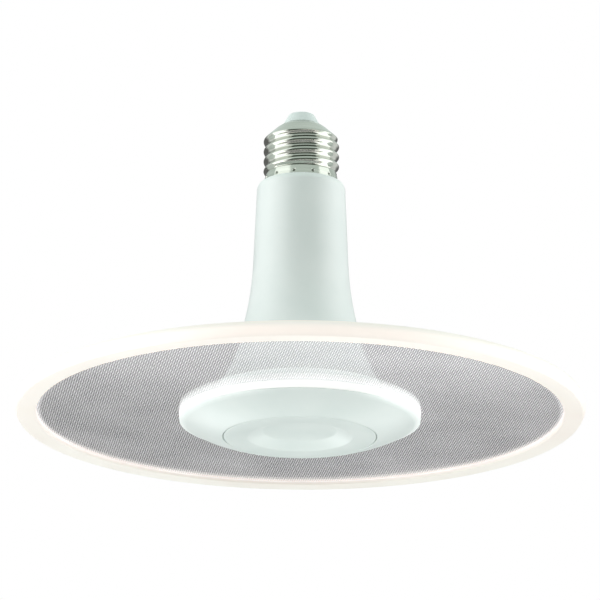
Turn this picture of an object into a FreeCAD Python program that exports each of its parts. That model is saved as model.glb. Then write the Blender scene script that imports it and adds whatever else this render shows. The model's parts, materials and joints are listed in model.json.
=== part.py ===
"""Screw-in lamp with a flat edge-lit disc.

A long white neck stands on a clear light guide with an opal ring round its edge. A ring of light sources
in the hub shines outwards into the guide. The neck holds the driver, and a rolled screw shell closes its top.
Millimetres, +Z up towards the screw shell, origin in the middle of the flat ring that the lamp rests on.
"""
import FreeCAD
import Part
import os
from math import cos, hypot, pi, sin, sqrt, tan

Vector = FreeCAD.Vector
AXIS = Vector(0, 0, 1)
CENTRE = Vector(0, 0, 0)

# Light guide and its opal edge
edge_diameter = 195.0
edge_width = 7.4
edge_lip = 1.1
edge_bulge = 1.0
guide_bite = 4.4
guide_thickness = 3.0

# Hub below the guide
cover_depth = 6.0
cover_bulge = 0.6
cover_wall = 1.6
cover_floor = 1.5
cover_edge_round = 0.35
clamp_height = 2.5
clamp_width = 3.8
locating_lip_width = 1.3
locating_lip_height = 2.0
recess_depth = 4.2

# Plug in the middle of the cover
plug_radius = 26.1
plug_wall = 1.5
plug_ring_width = 8.1
dimple_slope_width = 5.5
dimple_depth = 2.2
dimple_slope_shift = 0.9
clip_inset = 2.9
clip_angle = 60.0
clip_width = 5.0
clip_thickness = 1.2
clip_hook = 0.8
clip_hook_height = 1.0

# Neck housing
flange_land = 4.8
flange_edge = 1.3
flange_rise = 1.9
flange_flat = 2.5
neck_wall = 1.8
neck_height = 79.45
neck_top_radius = 15.3
neck_low_radius = 16.4
shoulder_width = 2.1
shoulder_height = 2.6
flare_height = 50.5
flare_pull_down = 24.0
flare_pull_in = 12.5
deck_thickness = 2.0
spigot_height = 12.6
spigot_wall = 1.5
rail_width = 1.2
rail_depth = 3.0
rail_length = 26.0
boss_inset = 9.2
boss_radius = 3.2

# Screw cap, size 27
thread_major = 26.3
thread_depth = 1.0
thread_pitch = 3.629
thread_turns = 3.56
thread_run_out = 0.3
thread_crest_lead = 2.95
sections_per_turn = 5
shell_sheet = 0.35
skirt_height = 3.25
skirt_flare = 0.2
skirt_flare_height = 0.6
stake_count = 12
stake_radius = 0.8
stake_depth = 0.5
stake_height = 1.15
stake_phase = 18.6
shell_mouth_radius = 6.0
cone_high_radius = 8.5
cone_height = 3.9
crown_height = 1.7
nub_base_radius = 6.45
nub_top_radius = 4.3
nub_height = 3.5
insulator_disc_radius = 8.2
insulator_disc_height = 2.1
contact_radius = 3.6
contact_flat_radius = 2.6
contact_height = 0.4
contact_pin_radius = 1.2
contact_pin_length = 8.6

# Light engine
spreader_radius = 34.2
spreader_wall = 1.2
spreader_web = 1.4
spreader_skirt = 3.3
spreader_hole_radius = 7.0
spreader_top_gap = 0.8
notch_width = 6.0
notch_height = 2.4
strip_thickness = 0.6
strip_height = 4.0
led_count = 36
led_width = 3.5
led_height = 2.8
led_depth = 0.8
led_gap = 0.6

# Fasteners
screw_radius = 1.45
screw_head_radius = 2.8
screw_head_height = 1.6
screw_grip = 4.4
screw_recess_radius = 0.9
screw_recess_depth = 0.9
pillar_inset = 4.5
pillar_radius = 3.2
pillar_angle = 60.0
boss_angle = 30.0

# Driver
board_thickness = 1.2
board_width = 24.0
component_lead = 0.6
output_diode_height = 15.0
diode_to_chip = 10.0
chip_to_bridge = 9.5
bridge_to_film = 10.0
film_to_choke = 11.5
choke_margin = 9.0
transformer_height = 17.0
core_half_width = 8.0
core_half_height = 7.4
core_depth = 4.4
core_leg = 2.2
core_window = 6.0
bobbin_wall = 0.8
bobbin_depth = 10.8
bobbin_flange = 0.9
output_can_radius = 4.0
output_can_length = 12.0
input_can_radius = 5.0
input_can_length = 18.0
can_groove = 0.35
can_bead_height = 2.0
can_gap = 2.0
choke_radius = 4.0
choke_waist_radius = 3.2
choke_length = 9.0
choke_flange = 1.1
film_width = 12.0
film_depth = 5.5
film_length = 10.0
film_bevel = 0.6
bridge_size = (4.0, 4.7, 1.6)
driver_chip_size = (3.9, 4.9, 1.5)
output_diode_size = (2.6, 4.3, 2.1)
package_standoff = 0.15
package_leg_thickness = 0.2
fuse_radius = 1.7
fuse_waist_radius = 1.45
fuse_length = 8.0
fuse_cap_length = 1.6
fuse_lift = 3.0
wire_diameter = 1.5
wire_bend = 2.4
lead_spread = 3.0
neutral_lead_offset = 6.5
lead_joint_length = 6.0

# Clearances
fit_gap = 0.1
slide_gap = 0.2
panel_gap = 0.25

# Radii that follow from the ring of light sources and the plug
guide_hole_radius = spreader_radius + strip_thickness + led_depth + led_gap
flange_radius = guide_hole_radius + flange_land
boss_circle = spreader_radius - boss_inset
pillar_circle = plug_radius - pillar_inset
dimple_radius = plug_radius - plug_ring_width
dimple_floor_radius = dimple_radius - dimple_slope_width
clip_radius = dimple_floor_radius - clip_inset

# Places of the small components along the board, which is as long as they need
driver_chip_height = output_diode_height + diode_to_chip
bridge_height = driver_chip_height + chip_to_bridge
film_height = bridge_height + bridge_to_film
choke_height = film_height + film_to_choke
board_length = choke_height + choke_margin

# Heights that follow from the stack of parts
clamp_low = cover_depth
guide_low = clamp_low + clamp_height
guide_high = guide_low + guide_thickness
shoulder_z = guide_high + neck_height
deck_z = shoulder_z - deck_thickness
web_high = guide_high + spreader_top_gap
web_low = web_high - spreader_web
floor_high = recess_depth + cover_floor
thread_low = shoulder_z + skirt_height
thread_high = thread_low + thread_turns * thread_pitch
cone_high = thread_high + cone_height
shell_top = cone_high + crown_height
nub_top = shell_top + nub_height
board_high = deck_z - slide_gap
board_low = board_high - board_length
face = board_thickness / 2


def at(r, z):
    return Vector(r, 0, z)


def arc_to(middle, end):
    return ("arc", middle, end)


def curve_to(*poles):
    return ("curve",) + poles


def outline(start, *steps):
    """A closed wire in the plane of radius and height. A step is a point, an arc or a curve."""
    edges = []
    here = at(*start)
    for step in steps + (start,):
        if step[0] == "arc":
            end = at(*step[2])
            edges.append(Part.Arc(here, at(*step[1]), end).toShape())
        elif step[0] == "curve":
            poles = [here] + [at(*pole) for pole in step[1:]]
            curve = Part.BezierCurve()
            curve.setPoles(poles)
            end = poles[-1]
            edges.append(curve.toShape())
        else:
            end = at(*step)
            edges.append(Part.makeLine(here, end))
        here = end
    return Part.Wire(edges)


def turned(start, *steps):
    """A solid of revolution about the lamp's axis."""
    return Part.Face(outline(start, *steps)).revolve(CENTRE, AXIS, 360)


def cylinder(radius, low, high, x=0.0, y=0.0):
    return Part.makeCylinder(radius, high - low, Vector(x, y, low), AXIS)


def box(x, y, z):
    """A block from three (low, high) pairs."""
    return Part.makeBox(x[1] - x[0], y[1] - y[0], z[1] - z[0], Vector(x[0], y[0], z[0]))


def around(shape, count, first=0.0):
    """Copies of a shape, evenly spread about the lamp's axis."""
    copies = []
    for index in range(count):
        copy = shape.copy()
        copy.rotate(CENTRE, AXIS, first + 360.0 * index / count)
        copies.append(copy)
    return copies


def fused(shapes):
    return shapes[0].multiFuse(shapes[1:]).removeSplitter()


def one_solid(shape):
    return shape.Solids[0]


def bevelled_box(x, y, z, bevel, axis):
    """A block with the four edges along one axis bevelled."""
    block = box(x, y, z)
    along = [edge for edge in block.Edges if abs(edge.tangentAt(0).dot(axis)) > 0.9]
    return block.makeChamfer(bevel, along)


def wire_lead(points, diameter=wire_diameter, bend=wire_bend):
    """A round wire along straight runs joined by tangent arcs."""
    points = [Vector(*point) for point in points]
    edges = []
    here = points[0]
    for before, corner, after in zip(points, points[1:], points[2:]):
        back = (before - corner).normalize()
        ahead = (after - corner).normalize()
        half_turn = (pi - back.getAngle(ahead)) / 2
        reach = bend * tan(half_turn)
        start = corner + back * reach
        end = corner + ahead * reach
        to_centre = (back + ahead).normalize()
        middle = corner + to_centre * (bend / cos(half_turn) - bend)
        edges.append(Part.makeLine(here, start))
        edges.append(Part.Arc(start, middle, end).toShape())
        here = end
    edges.append(Part.makeLine(here, points[-1]))
    path = Part.Wire(edges)
    section = Part.Wire(Part.makeCircle(diameter / 2, points[0], points[1] - points[0]))
    return path.makePipeShell([section], True, False)


# Light guide and edge

edge_radius = edge_diameter / 2
edge_inner_radius = edge_radius - edge_width
guide_radius = edge_inner_radius + guide_bite
edge_low = guide_low - edge_lip
edge_high = guide_high + edge_lip


def light_guide():
    plate = cylinder(guide_radius, guide_low, guide_high)
    return plate.cut(cylinder(guide_hole_radius, guide_low, guide_high))


def edge_ring():
    groove = guide_radius + fit_gap
    side = edge_radius - edge_bulge
    middle = (edge_low + edge_high) / 2
    return turned(
        (edge_inner_radius, edge_low),
        (side, edge_low),
        arc_to((edge_radius, middle), (side, edge_high)),
        (edge_inner_radius, edge_high),
        (edge_inner_radius, guide_high),
        (groove, guide_high),
        (groove, guide_low),
        (edge_inner_radius, guide_low),
    )


# Hub below the guide

clamp_radius = flange_radius + slide_gap
clamp_inner_radius = clamp_radius - clamp_width
recess_radius = plug_radius + panel_gap


def clamp_ring():
    ring = cylinder(clamp_radius, clamp_low, guide_low)
    return ring.cut(cylinder(clamp_inner_radius, clamp_low, guide_low))


def bulged(low, high, sag):
    """The middle of an arc that bulges outwards and down from the chord of two (radius, height) points."""
    run = high[0] - low[0]
    rise = high[1] - low[1]
    chord = hypot(run, rise)
    return (low[0] + run / 2 + sag * rise / chord, low[1] + rise / 2 - sag * run / chord)


def lower_cover():
    edge = (recess_radius + cover_edge_round, 0.0)
    rim = (clamp_radius, cover_depth)
    pocket_radius = recess_radius + cover_wall
    lip_outer = clamp_inner_radius - fit_gap
    lip_inner = lip_outer - locating_lip_width
    inner_low = (pocket_radius, floor_high)
    inner_rim = (lip_inner, cover_depth)
    shell = turned(
        (0.0, recess_depth),
        (recess_radius, recess_depth),
        (recess_radius, cover_edge_round),
        edge,
        arc_to(bulged(edge, rim, cover_bulge), rim),
        (lip_outer, cover_depth),
        (lip_outer, cover_depth + locating_lip_height),
        (lip_inner, cover_depth + locating_lip_height),
        inner_rim,
        inner_low,
        (0.0, floor_high),
    )
    hole = cylinder(screw_radius + slide_gap, recess_depth, floor_high, pillar_circle)
    holes = around(hole, 3, pillar_angle)
    slot = box(
        (clip_radius - clip_thickness / 2 - slide_gap, clip_radius + clip_thickness / 2 + clip_hook),
        (-clip_width / 2 - slide_gap, clip_width / 2 + slide_gap),
        (recess_depth, floor_high),
    )
    return shell.cut(Part.makeCompound(holes + around(slot, 3, clip_angle)))


def centre_plug():
    top = dimple_depth + plug_wall
    skirt_radius = plug_radius - plug_wall
    disc = turned(
        (0.0, dimple_depth),
        (dimple_floor_radius, dimple_depth),
        (dimple_radius, 0.0),
        (plug_radius - cover_edge_round, 0.0),
        (plug_radius, cover_edge_round),
        (plug_radius, recess_depth),
        (skirt_radius, recess_depth),
        (skirt_radius, plug_wall),
        (dimple_radius + dimple_slope_shift, plug_wall),
        (dimple_floor_radius + dimple_slope_shift, top),
        (0.0, top),
    )
    hook_low = floor_high + fit_gap
    hook_high = hook_low + clip_hook_height
    inner = clip_radius - clip_thickness / 2
    outer = clip_radius + clip_thickness / 2
    half = clip_width / 2
    leg = box((inner, outer), (-half, half), (top - fit_gap, hook_high))
    hook = Part.Face(
        Part.makePolygon(
            [
                Vector(outer, -half, hook_low),
                Vector(outer + clip_hook, -half, hook_low),
                Vector(outer, -half, hook_high),
                Vector(outer, -half, hook_low),
            ]
        )
    ).extrude(Vector(0, clip_width, 0))
    clip = leg.fuse(hook)
    return one_solid(fused([disc] + around(clip, 3, clip_angle)))


# Neck housing

flange_top = guide_high + flange_rise
flare_top_z = guide_high + flare_height
shoulder_start_z = shoulder_z - shoulder_height
taper = (neck_low_radius - neck_top_radius) / (shoulder_start_z - flare_top_z)
spigot_radius = thread_major / 2 - thread_depth - shell_sheet - slide_gap
spigot_bore = spigot_radius - spigot_wall
mouth_radius = guide_hole_radius + slide_gap


def flare_poles():
    """The trumpet's control points, from the neck down to the flange."""
    start = (neck_low_radius, flare_top_z)
    end = (flange_radius - flange_flat, flange_top)
    return [
        start,
        (start[0] + taper * flare_pull_down, start[1] - flare_pull_down),
        (end[0] - flare_pull_in, end[1] + flange_edge / 2),
        end,
    ]


def flare_curve():
    curve = Part.BezierCurve()
    curve.setPoles([at(*pole) for pole in flare_poles()])
    return curve


def inside_points(count=4):
    """Points one wall inside the trumpet, from the flange up to the neck."""
    curve = flare_curve()
    points = []
    for index in range(count, 0, -1):
        share = index / (count + 0.5)
        point = curve.value(share)
        along = curve.tangent(share)[0]
        points.append((point.x - neck_wall * abs(along.z), point.z - neck_wall * abs(along.x)))
    return [point for point in points if point[0] < mouth_radius - fit_gap]


def cavity():
    """The hollow of the neck below its deck."""
    low = inside_points()
    top_radius = neck_top_radius - neck_wall
    return turned(
        (0.0, guide_high),
        (mouth_radius, guide_high),
        (mouth_radius, guide_high + flange_edge / 3),
        *low,
        (neck_low_radius - neck_wall, flare_top_z),
        (top_radius, shoulder_start_z),
        (top_radius, deck_z),
        (0.0, deck_z),
    )


def neck_outside():
    rim_radius = neck_top_radius - shoulder_width
    corner = (
        rim_radius + shoulder_width * sin(pi / 4),
        shoulder_start_z + shoulder_height * cos(pi / 4),
    )
    flare = flare_poles()
    edge_top = guide_high + flange_edge
    return turned(
        (0.0, guide_high),
        (flange_radius, guide_high),
        (flange_radius, edge_top),
        flare[3],
        curve_to(flare[2], flare[1], flare[0]),
        (neck_top_radius, shoulder_start_z),
        arc_to(corner, (rim_radius, shoulder_z)),
        (spigot_radius, shoulder_z),
        (spigot_radius, shoulder_z + spigot_height),
        (0.0, shoulder_z + spigot_height),
    )


def neck_housing():
    hollow = cavity()
    body = neck_outside().cut(hollow)
    body = body.cut(cylinder(spigot_bore, deck_z, shoulder_z + spigot_height))
    inner_wall = neck_top_radius - neck_wall
    rails = []
    for side in (-1, 1):
        near = side * (inner_wall - rail_depth)
        far = side * (neck_low_radius + neck_wall)
        for hand in (-1, 1):
            start = hand * (face + fit_gap)
            end = hand * (face + fit_gap + rail_width)
            rails.append(box(sorted((near, far)), sorted((start, end)), (deck_z - rail_length, deck_z)))
    bosses = around(cylinder(boss_radius, web_high, flare_top_z, boss_circle), 3, boss_angle)
    inside = hollow.common(Part.makeCompound(rails + bosses))
    body = fused([body] + inside.Solids)
    pilot = cylinder(screw_radius, web_high, web_high + screw_grip + fit_gap, boss_circle)
    pilots = around(pilot, 3, boss_angle)
    return one_solid(body.cut(Part.makeCompound(pilots)))


# Screw cap

thread_radius = (thread_major - thread_depth) / 2
bore_radius = thread_major / 2 - thread_depth - shell_sheet


def thread_section(index, steps):
    """One round section of the rolled thread. Its centre goes round the axis once in each pitch."""
    height = thread_low + (thread_high - thread_low) * index / steps
    run_out = min(1.0, min(index, steps - index) / (thread_run_out * sections_per_turn))
    turn = 2 * pi * (height - thread_low - thread_crest_lead) / thread_pitch
    throw = run_out * thread_depth / 2
    centre = Vector(throw * cos(turn), throw * sin(turn), height)
    return Part.Wire(Part.makeCircle(thread_radius, centre, AXIS))


def stake_dents():
    """The punch dents that lock the shell to the spigot, all round its skirt."""
    outside = thread_radius + fit_gap
    tip = Vector(thread_radius - stake_depth, 0, shoulder_z + stake_height)
    slope = stake_radius / (stake_depth + fit_gap)
    dent = Part.makeCone(0, slope * (outside - tip.x), outside - tip.x, tip, Vector(1, 0, 0))
    return around(dent, stake_count, stake_phase)


def screw_shell():
    steps = round(thread_turns * sections_per_turn)
    sections = [
        Part.Wire(Part.makeCircle(thread_radius + skirt_flare, at(0, shoulder_z), AXIS)),
        Part.Wire(Part.makeCircle(thread_radius, at(0, shoulder_z + skirt_flare_height), AXIS)),
    ]
    sections += [thread_section(index, steps) for index in range(steps + 1)]
    sections.append(Part.Wire(Part.makeCircle(cone_high_radius, at(0, cone_high), AXIS)))
    sections.append(Part.Wire(Part.makeCircle(shell_mouth_radius, at(0, shell_top), AXIS)))
    outside = Part.makeLoft(sections, True, True)
    inside = turned(
        (0.0, shoulder_z),
        (bore_radius, shoulder_z),
        (bore_radius, thread_high),
        (cone_high_radius - shell_sheet, cone_high - shell_sheet),
        (shell_mouth_radius - shell_sheet, shell_top - shell_sheet),
        (shell_mouth_radius - shell_sheet, shell_top),
        (0.0, shell_top),
    )
    return one_solid(outside.cut(Part.makeCompound([inside] + stake_dents())))


def cap_insulator():
    neck = shell_mouth_radius - shell_sheet
    disc_high = shell_top - shell_sheet
    disc_low = disc_high - insulator_disc_height
    hole = contact_pin_radius
    return turned(
        (hole, disc_low),
        (insulator_disc_radius, disc_low),
        (insulator_disc_radius, cone_high - 2 * shell_sheet),
        (neck, disc_high),
        (neck, shell_top),
        (nub_base_radius, shell_top),
        (nub_top_radius, nub_top),
        (hole, nub_top),
    )


def centre_contact():
    top = nub_top + contact_height
    return turned(
        (0.0, top),
        (contact_flat_radius, top),
        (contact_radius, nub_top),
        (contact_pin_radius, nub_top),
        (contact_pin_radius, top - contact_pin_length),
        (0.0, top - contact_pin_length),
    )


# Light engine

strip_radius = spreader_radius + strip_thickness
strip_low = (guide_low + guide_high - strip_height) / 2


def lead_notch():
    """Where the two leads pass through the wall to the back of the strip."""
    return box(
        (spreader_radius - 2 * spreader_wall, spreader_radius + spreader_wall),
        (-notch_width / 2, notch_width / 2),
        (web_low - notch_height, web_low),
    )


def heat_spreader():
    web = cylinder(spreader_radius, web_low, web_high)
    wall = cylinder(spreader_radius, web_low - spreader_skirt, web_high)
    wall = wall.cut(cylinder(spreader_radius - spreader_wall, web_low - spreader_skirt, web_high))
    pillars = around(cylinder(pillar_radius, floor_high, web_high, pillar_circle), 3, pillar_angle)
    body = fused([web, wall] + pillars)
    cuts = [cylinder(spreader_hole_radius, web_low, web_high), lead_notch()]
    pilot = cylinder(screw_radius, floor_high, floor_high + screw_grip + fit_gap, pillar_circle)
    hole = cylinder(screw_radius + slide_gap, web_low, web_high, boss_circle)
    cuts += around(pilot, 3, pillar_angle) + around(hole, 3, boss_angle)
    return one_solid(body.cut(Part.makeCompound(cuts)))


def led_board():
    ring = cylinder(strip_radius, strip_low, strip_low + strip_height)
    return ring.cut(cylinder(spreader_radius, strip_low, strip_low + strip_height))


def leds():
    middle = (guide_low + guide_high) / 2
    back = sqrt(strip_radius**2 - (led_width / 2) ** 2)
    body = box(
        (back, strip_radius + led_depth),
        (-led_width / 2, led_width / 2),
        (middle - led_height / 2, middle + led_height / 2),
    )
    body = body.cut(cylinder(strip_radius, guide_low, guide_high))
    half_step = 180.0 / led_count
    return Part.makeCompound(around(one_solid(body), led_count, half_step))


# Fasteners

def screw(x, head_low, shank_end):
    """A pan-head screw that points up, with a square drive in its head."""
    head_high = head_low + screw_head_height
    bevel = screw_head_height / 2
    rim = Part.makeCone(
        screw_head_radius - bevel, screw_head_radius, bevel, Vector(x, 0, head_low), AXIS
    )
    head = rim.fuse(cylinder(screw_head_radius, head_low + bevel, head_high, x))
    shank = cylinder(screw_radius, head_high, shank_end, x)
    reach = screw_recess_radius
    drive = box((x - reach, x + reach), (-reach, reach), (head_low, head_low + screw_recess_depth))
    return one_solid(head.fuse(shank).cut(drive))


def cover_screws():
    one = screw(pillar_circle, recess_depth - screw_head_height, floor_high + screw_grip)
    return Part.makeCompound(around(one, 3, pillar_angle))


def spreader_screws():
    one = screw(boss_circle, web_low - screw_head_height, web_high + screw_grip)
    return Part.makeCompound(around(one, 3, boss_angle))


# Driver

def driver_board():
    half = board_width / 2
    board = box((-half, half), (-face, face), (board_low, board_high))
    hold = cylinder(spigot_bore, board_low, board_high + deck_thickness)
    return board.common(cylinder(half, board_low, board_high).fuse(hold))


def on_board(shape, height, x=0.0, back=False):
    """Moves a component drawn at the origin, standing along +Y, onto the board at a height."""
    placed = shape.copy()
    if back:
        placed.rotate(CENTRE, AXIS, 180)
    placed.translate(Vector(x, -face if back else face, board_low + height))
    return placed


def capacitor_can(radius, length):
    """A can that lies along the board with two legs bent down to it."""
    can = turned(
        (0.0, 0.0),
        (radius - can_groove, 0.0),
        (radius, can_groove),
        (radius, can_bead_height),
        (radius - can_groove, can_bead_height + can_groove),
        (radius, can_bead_height + 2 * can_groove),
        (radius, length - can_groove),
        (radius - can_groove, length),
        (0.0, length),
    )
    can.translate(Vector(0, radius, 0))
    parts = [can]
    for side in (-1, 1):
        x = side * radius / 2
        half = component_lead / 2
        parts.append(box((x - half, x + half), (0, radius + half), (-2 * component_lead, -component_lead)))
        parts.append(box((x - half, x + half), (radius - half, radius + half), (-2 * component_lead, 0)))
    return one_solid(fused(parts))


def gull_package(size, legs):
    """A flat moulded package with bent legs on its two long sides, standing on the board."""
    width, length, height = size
    body = box((-width / 2, width / 2), (package_standoff, height), (-length / 2, length / 2))
    parts = [body]
    pitch = length / legs
    thick = package_leg_thickness
    for side in (-1, 1):
        for index in range(legs):
            z = -length / 2 + pitch * (index + 0.5)
            span = (z - pitch / 5, z + pitch / 5)
            root = side * width / 2
            knee = side * (width / 2 + height / 2)
            toe = side * (width / 2 + height)
            rise = height / 2
            parts.append(box(sorted((root, knee)), (rise, rise + thick), span))
            parts.append(box(sorted((knee - side * thick, knee)), (0, rise + thick), span))
            parts.append(box(sorted((knee, toe)), (0, thick), span))
    return one_solid(fused(parts))


transformer_centre_y = bobbin_depth / 2


def transformer_core():
    depth = (transformer_centre_y - core_depth / 2, transformer_centre_y + core_depth / 2)
    yoke = core_half_width - core_window
    window_half = core_half_height - yoke
    block = box((-core_half_width, core_half_width), depth, (-core_half_height, core_half_height))
    left = box((-core_window, -core_leg), depth, (-window_half, window_half))
    right = box((core_leg, core_window), depth, (-window_half, window_half))
    return on_board(block.cut(left).cut(right), transformer_height)


def transformer_bobbin():
    window_half = core_half_height - (core_half_width - core_window)
    half_depth = core_depth / 2 + fit_gap
    leg = core_leg + fit_gap
    high = window_half - fit_gap
    low_y = transformer_centre_y - half_depth - bobbin_wall
    high_y = transformer_centre_y + half_depth + bobbin_wall
    tube = box((-leg - bobbin_wall, leg + bobbin_wall), (low_y, high_y), (-high, high))
    wide = core_window - fit_gap
    flanges = [
        box((-wide, wide), (0, bobbin_depth), (-high, -high + bobbin_flange)),
        box((-wide, wide), (0, bobbin_depth), (high - bobbin_flange, high)),
    ]
    body = fused([tube] + flanges)
    hole = box(
        (-leg, leg),
        (transformer_centre_y - half_depth, transformer_centre_y + half_depth),
        (-high, high),
    )
    return on_board(one_solid(body.cut(hole)), transformer_height)


def transformer_winding():
    window_half = core_half_height - (core_half_width - core_window)
    leg = core_leg + fit_gap + bobbin_wall
    half_depth = core_depth / 2 + fit_gap + bobbin_wall
    high = window_half - fit_gap - bobbin_flange
    wide = core_window - 3 * fit_gap
    deep = transformer_centre_y - 3 * fit_gap
    block = bevelled_box(
        (-wide, wide),
        (transformer_centre_y - deep, transformer_centre_y + deep),
        (-high, high),
        bobbin_wall,
        AXIS,
    )
    core_hole = box(
        (-leg, leg),
        (transformer_centre_y - half_depth, transformer_centre_y + half_depth),
        (-high, high),
    )
    return on_board(block.cut(core_hole), transformer_height)


def output_capacitor():
    return on_board(
        capacitor_can(output_can_radius, output_can_length),
        transformer_height + core_half_height + can_gap,
    )


def input_capacitor():
    return on_board(
        capacitor_can(input_can_radius, input_can_length),
        transformer_height + core_half_height + output_can_length + 2 * can_gap,
    )


def filter_choke():
    """A drum choke: a wound waist between two flanges, standing on the board."""
    drum = turned(
        (0.0, 0.0),
        (choke_radius, 0.0),
        (choke_radius, choke_flange),
        (choke_waist_radius, 2 * choke_flange),
        (choke_waist_radius, choke_length - 2 * choke_flange),
        (choke_radius, choke_length - choke_flange),
        (choke_radius, choke_length),
        (0.0, choke_length),
    )
    drum.rotate(CENTRE, Vector(1, 0, 0), -90)
    return on_board(drum, choke_height, back=True)


def film_capacitor():
    block = bevelled_box(
        (-film_width / 2, film_width / 2),
        (0.0, film_depth),
        (-film_length / 2, film_length / 2),
        film_bevel,
        Vector(0, 1, 0),
    )
    return on_board(block, film_height, back=True)


def bridge_rectifier():
    return on_board(gull_package(bridge_size, 2), bridge_height, back=True)


def driver_chip():
    return on_board(gull_package(driver_chip_size, 4), driver_chip_height, back=True)


def output_diode():
    return on_board(gull_package(output_diode_size, 1), output_diode_height, back=True)


def fuse_resistor():
    """An axial fuse resistor on the lamp's axis, standing on the board's top edge."""
    low = board_high + fuse_lift
    high = low + fuse_length
    lead = component_lead / 2
    end = fuse_cap_length
    return turned(
        (0.0, board_high),
        (lead, board_high),
        (lead, low),
        (fuse_radius, low + lead),
        (fuse_radius, low + end),
        (fuse_waist_radius, low + end + lead),
        (fuse_waist_radius, high - end - lead),
        (fuse_radius, high - end),
        (fuse_radius, high - lead),
        (lead, high),
        (0.0, high),
    )


lead_side = face + wire_diameter / 2


def live_lead():
    start = board_high + fuse_lift + fuse_length
    end = nub_top + contact_height - contact_pin_length
    return cylinder(wire_diameter / 2, start, end)


def neutral_lead():
    """From the back of the board up the spigot and over its rim to the inside of the shell."""
    rim = shoulder_z + spigot_height + wire_diameter
    reach = sqrt(bore_radius**2 - lead_side**2) - slide_gap
    return wire_lead(
        [
            (neutral_lead_offset, -lead_side, board_high - lead_joint_length),
            (neutral_lead_offset, -lead_side, rim),
            (reach, -lead_side, rim),
        ]
    )


def led_lead(hand):
    """From one face of the board down through the web and out to the back of the strip."""
    low = web_low - notch_height / 2
    side = lead_side + wire_diameter / 2
    end = sqrt(spreader_radius**2 - side**2)
    return wire_lead(
        [
            (lead_spread, hand * lead_side, board_low + lead_joint_length),
            (lead_spread, hand * lead_side, low),
            (end, hand * lead_side, low),
        ]
    )


def led_lead_positive():
    return led_lead(1)


def led_lead_negative():
    return led_lead(-1)


SUBPARTS = [
    screw_shell,
    cap_insulator,
    centre_contact,
    neck_housing,
    light_guide,
    edge_ring,
    clamp_ring,
    lower_cover,
    centre_plug,
    cover_screws,
    heat_spreader,
    spreader_screws,
    led_board,
    leds,
    driver_board,
    transformer_core,
    transformer_bobbin,
    transformer_winding,
    input_capacitor,
    output_capacitor,
    filter_choke,
    film_capacitor,
    bridge_rectifier,
    driver_chip,
    output_diode,
    fuse_resistor,
    live_lead,
    neutral_lead,
    led_lead_positive,
    led_lead_negative,
]

os.makedirs("parts", exist_ok=True)
for make in SUBPARTS:
    shape = make()
    name = make.__name__
    print(name, len(shape.Solids), "solid", shape.isValid(), round(shape.Volume, 1))
    shape.exportStep("parts/" + name + ".step")
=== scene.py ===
"""A screw-cap lamp with an edge-lit disc, seen from below. Metres, +Z up towards the screw cap."""
import json
from math import atan2, ceil, cos, exp, hypot, pi, radians, sin, tan

import bpy
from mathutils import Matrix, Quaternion, Vector

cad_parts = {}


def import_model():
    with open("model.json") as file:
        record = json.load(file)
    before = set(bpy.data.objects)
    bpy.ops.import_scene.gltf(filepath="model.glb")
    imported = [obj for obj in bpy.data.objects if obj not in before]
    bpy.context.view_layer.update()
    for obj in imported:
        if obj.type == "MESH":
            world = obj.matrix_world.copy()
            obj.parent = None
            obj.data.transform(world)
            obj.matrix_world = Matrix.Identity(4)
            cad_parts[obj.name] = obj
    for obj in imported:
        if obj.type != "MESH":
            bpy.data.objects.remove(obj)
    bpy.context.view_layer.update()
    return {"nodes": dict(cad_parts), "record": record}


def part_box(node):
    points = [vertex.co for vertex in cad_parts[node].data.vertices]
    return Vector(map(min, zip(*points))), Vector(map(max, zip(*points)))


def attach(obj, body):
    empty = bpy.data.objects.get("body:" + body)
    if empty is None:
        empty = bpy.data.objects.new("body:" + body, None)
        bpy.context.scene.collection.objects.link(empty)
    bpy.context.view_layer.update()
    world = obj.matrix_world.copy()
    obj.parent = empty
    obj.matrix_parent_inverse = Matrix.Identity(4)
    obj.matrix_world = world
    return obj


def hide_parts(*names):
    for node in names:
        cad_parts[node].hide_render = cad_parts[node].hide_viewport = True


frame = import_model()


# Sizes read from the frame

def low(node):
    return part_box(node)[0].z


def high(node):
    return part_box(node)[1].z


def radius(node):
    """The node's outer radius: the box of a many-sided circle can be a hair short on one side."""
    lowest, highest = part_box(node)
    return min(highest.x, highest.y, -lowest.x, -lowest.y)


guide_low = low("light_guide")
guide_high = high("light_guide")
clamp_low = low("clamp_ring")
ring_low = low("edge_ring")
ring_high = high("edge_ring")
ring_radius = radius("edge_ring")
hub_radius = radius("clamp_ring")
flange_radius = radius("neck_housing")
spigot_top = high("neck_housing")
shoulder_z = low("screw_shell")
shell_top = high("screw_shell")
thread_radius_outer = radius("screw_shell")
disc_low = low("cap_insulator")
nub_top = high("cap_insulator")
contact_top = high("centre_contact")
contact_low = low("centre_contact")
contact_radius = radius("centre_contact")
plug_radius = radius("centre_plug")
plug_low = low("centre_plug")

# Sizes that the boxes don't give: disc and hub
ring_width = 0.0074
ring_inner = ring_radius - ring_width
groove_depth = 0.0045
ring_bulge = 0.0010
ring_fillet = 0.0004
clamp_width = 0.0038
clamp_inner = hub_radius - clamp_width
clamp_fillet = 0.0002
cover_bulge = 0.0006
cover_wall = 0.0016
cover_floor = 0.0015
cover_edge = 0.0001
cover_edge_fillet = 0.00008
lip_width = 0.0013
lip_height = 0.0020
lip_fillet = 0.0002
recess_depth = 0.0042
recess_fillet = 0.0003
recess_edge = 0.0004
panel_gap = 0.00025
fit_gap = 0.0001
plug_wall = 0.0015
plug_fillet = 0.0004
dimple_radius = 0.0180
dimple_floor_radius = 0.0125
dimple_depth = 0.0022
dimple_fillet = 0.0016
dimple_floor_fillet = 0.0020
dimple_back = 0.0009

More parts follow.
